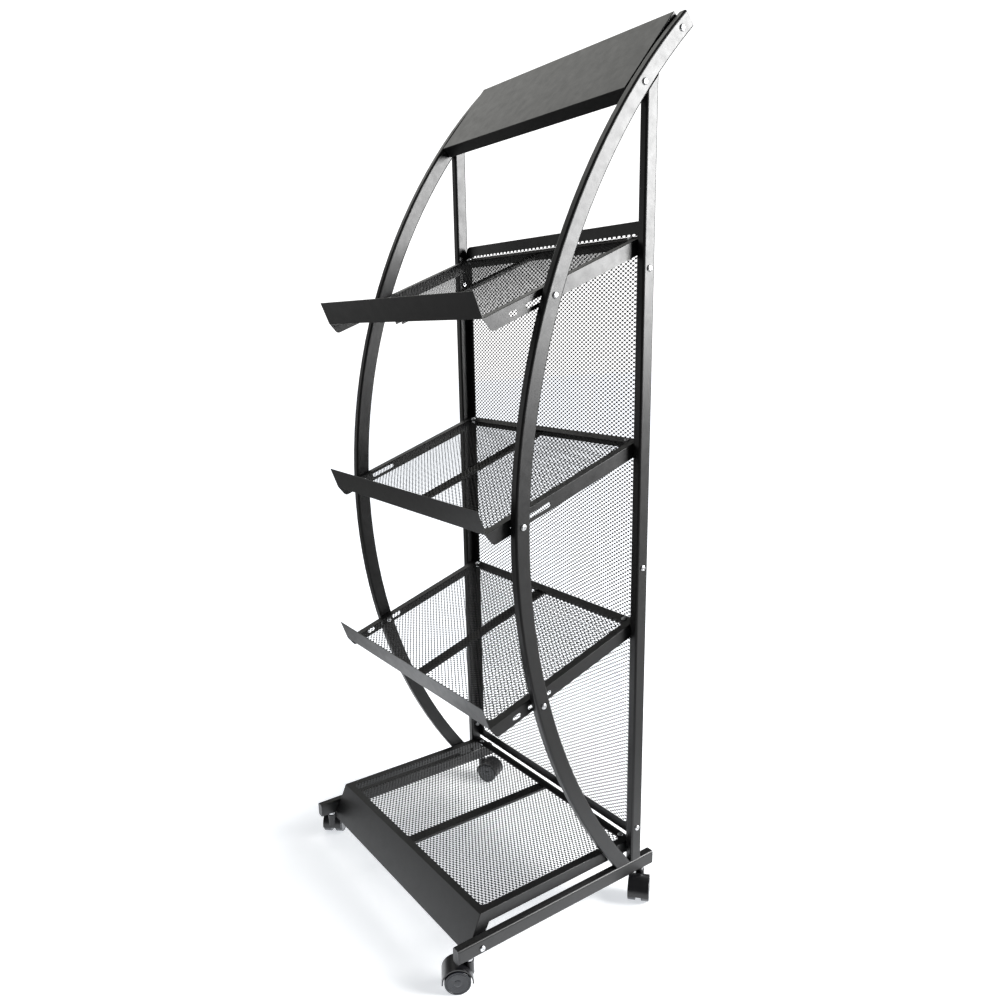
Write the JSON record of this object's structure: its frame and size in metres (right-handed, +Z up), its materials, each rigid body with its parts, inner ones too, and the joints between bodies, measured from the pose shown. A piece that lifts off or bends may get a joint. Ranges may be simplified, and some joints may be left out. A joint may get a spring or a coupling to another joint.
{
  "type": "newspaper rack",
  "caption": "Free-standing newspaper rack: tubular frame on castors, bowed front tubes, tilted mesh shelves with lips, bottom tray, back panel and header board.",
  "frame": {"origin": "on the floor, at mid-width, midway between the four castor stems", "axes": "+Z up; the rack faces -Y; +X to the right when standing in front and looking along +Y"},
  "size_m": [0.5685, 0.4586, 1.38],
  "materials": {
    "black_powder_coat": "satin black powder coat with a fine texture",
    "zinc_screw": "bright zinc-plated steel",
    "black_plastic": "moulded black nylon, slight sheen",
    "wheel_plastic": "moulded blue-black nylon wheel with a smooth face",
    "plug_plastic": "moulded black polyethylene end plug",
    "bright_steel": "plain steel stem and axle"
  },
  "bodies": {
    "frame": {"base_rail_left": "black_powder_coat", "base_rail_right": "black_powder_coat", "rear_post_left": "black_powder_coat", "rear_post_right": "black_powder_coat", "curved_tube_left": "black_powder_coat", "curved_tube_right": "black_powder_coat", "rail_end_plugs": "plug_plastic", "curved_tube_plugs": "plug_plastic", "back_panel": "black_powder_coat", "panel_mesh": "black_powder_coat", "upper_shelf_mesh": "black_powder_coat", "middle_shelf_mesh": "black_powder_coat", "lower_shelf_mesh": "black_powder_coat", "bottom_shelf_mesh": "black_powder_coat", "shelf_centre_strips": "black_powder_coat", "upper_shelf": "black_powder_coat", "middle_shelf": "black_powder_coat", "lower_shelf": "black_powder_coat", "upper_shelf_angle": "black_powder_coat", "middle_shelf_angle": "black_powder_coat", "lower_shelf_angle": "black_powder_coat", "bottom_shelf": "black_powder_coat", "bottom_cross_bar": "black_powder_coat", "header_board": "black_powder_coat", "shelf_side_screws": "zinc_screw", "shelf_side_nuts": "zinc_screw", "shelf_spacers": "plug_plastic", "panel_screws": "zinc_screw", "panel_nuts": "zinc_screw", "header_screws": "zinc_screw", "header_nuts": "zinc_screw", "fascia_screws": "zinc_screw", "fascia_nuts": "zinc_screw", "shelf_corner_screws": "zinc_screw", "shelf_corner_nuts": "zinc_screw", "castor_nuts": "bright_steel", "castor_stem_front_right": "bright_steel", "castor_stem_rear_right": "bright_steel", "castor_stem_rear_left": "bright_steel", "castor_stem_front_left": "bright_steel"},
    "castor_front_right": {"castor_hood_front_right": "black_plastic", "castor_axle_front_right": "bright_steel"},
    "wheel_front_right_outer": {"castor_wheel_front_right_outer": "wheel_plastic"},
    "wheel_front_right_inner": {"castor_wheel_front_right_inner": "wheel_plastic"},
    "castor_rear_right": {"castor_hood_rear_right": "black_plastic", "castor_axle_rear_right": "bright_steel"},
    "wheel_rear_right_outer": {"castor_wheel_rear_right_outer": "wheel_plastic"},
    "wheel_rear_right_inner": {"castor_wheel_rear_right_inner": "wheel_plastic"},
    "castor_rear_left": {"castor_hood_rear_left": "black_plastic", "castor_axle_rear_left": "bright_steel"},
    "wheel_rear_left_outer": {"castor_wheel_rear_left_outer": "wheel_plastic"},
    "wheel_rear_left_inner": {"castor_wheel_rear_left_inner": "wheel_plastic"},
    "castor_front_left": {"castor_hood_front_left": "black_plastic", "castor_axle_front_left": "bright_steel"},
    "wheel_front_left_outer": {"castor_wheel_front_left_outer": "wheel_plastic"},
    "wheel_front_left_inner": {"castor_wheel_front_left_inner": "wheel_plastic"}
  },
  "joints": [
    {"name": "swivel_front_right", "type": "hinge", "parent": "frame", "child": "castor_front_right", "pos_m": [0.2425, -0.177, 0.04], "axis": [0, 0, 1], "continuous": true},
    {"name": "roll_front_right_outer", "type": "hinge", "parent": "castor_front_right", "child": "wheel_front_right_outer", "pos_m": [0.23323, -0.19243, 0.02], "axis": [0.8572, -0.515, 0], "continuous": true},
    {"name": "roll_front_right_inner", "type": "hinge", "parent": "castor_front_right", "child": "wheel_front_right_inner", "pos_m": [0.23323, -0.19243, 0.02], "axis": [0.8572, -0.515, 0], "continuous": true},
    {"name": "swivel_rear_right", "type": "hinge", "parent": "frame", "child": "castor_rear_right", "pos_m": [0.2425, 0.177, 0.04], "axis": [0, 0, 1], "continuous": true},
    {"name": "roll_rear_right_outer", "type": "hinge", "parent": "castor_rear_right", "child": "wheel_rear_right_outer", "pos_m": [0.25431, 0.16342, 0.02], "axis": [0.7547, 0.6561, 0], "continuous": true},
    {"name": "roll_rear_right_inner", "type": "hinge", "parent": "castor_rear_right", "child": "wheel_rear_right_inner", "pos_m": [0.25431, 0.16342, 0.02], "axis": [0.7547, 0.6561, 0], "continuous": true},
    {"name": "swivel_rear_left", "type": "hinge", "parent": "frame", "child": "castor_rear_left", "pos_m": [-0.2425, 0.177, 0.04], "axis": [0, 0, 1], "continuous": true},
    {"name": "roll_rear_left_outer", "type": "hinge", "parent": "castor_rear_left", "child": "wheel_rear_left_outer", "pos_m": [-0.22699, 0.18614, 0.02], "axis": [-0.5075, 0.8616, 0], "continuous": true},
    {"name": "roll_rear_left_inner", "type": "hinge", "parent": "castor_rear_left", "child": "wheel_rear_left_inner", "pos_m": [-0.22699, 0.18614, 0.02], "axis": [-0.5075, 0.8616, 0], "continuous": true},
    {"name": "swivel_front_left", "type": "hinge", "parent": "frame", "child": "castor_front_left", "pos_m": [-0.2425, -0.177, 0.04], "axis": [0, 0, 1], "continuous": true},
    {"name": "roll_front_left_outer", "type": "hinge", "parent": "castor_front_left", "child": "wheel_front_left_outer", "pos_m": [-0.25588, -0.16496, 0.02], "axis": [-0.6691, -0.7431, 0], "continuous": true},
    {"name": "roll_front_left_inner", "type": "hinge", "parent": "castor_front_left", "child": "wheel_front_left_inner", "pos_m": [-0.25588, -0.16496, 0.02], "axis": [-0.6691, -0.7431, 0], "continuous": true}
  ]
}
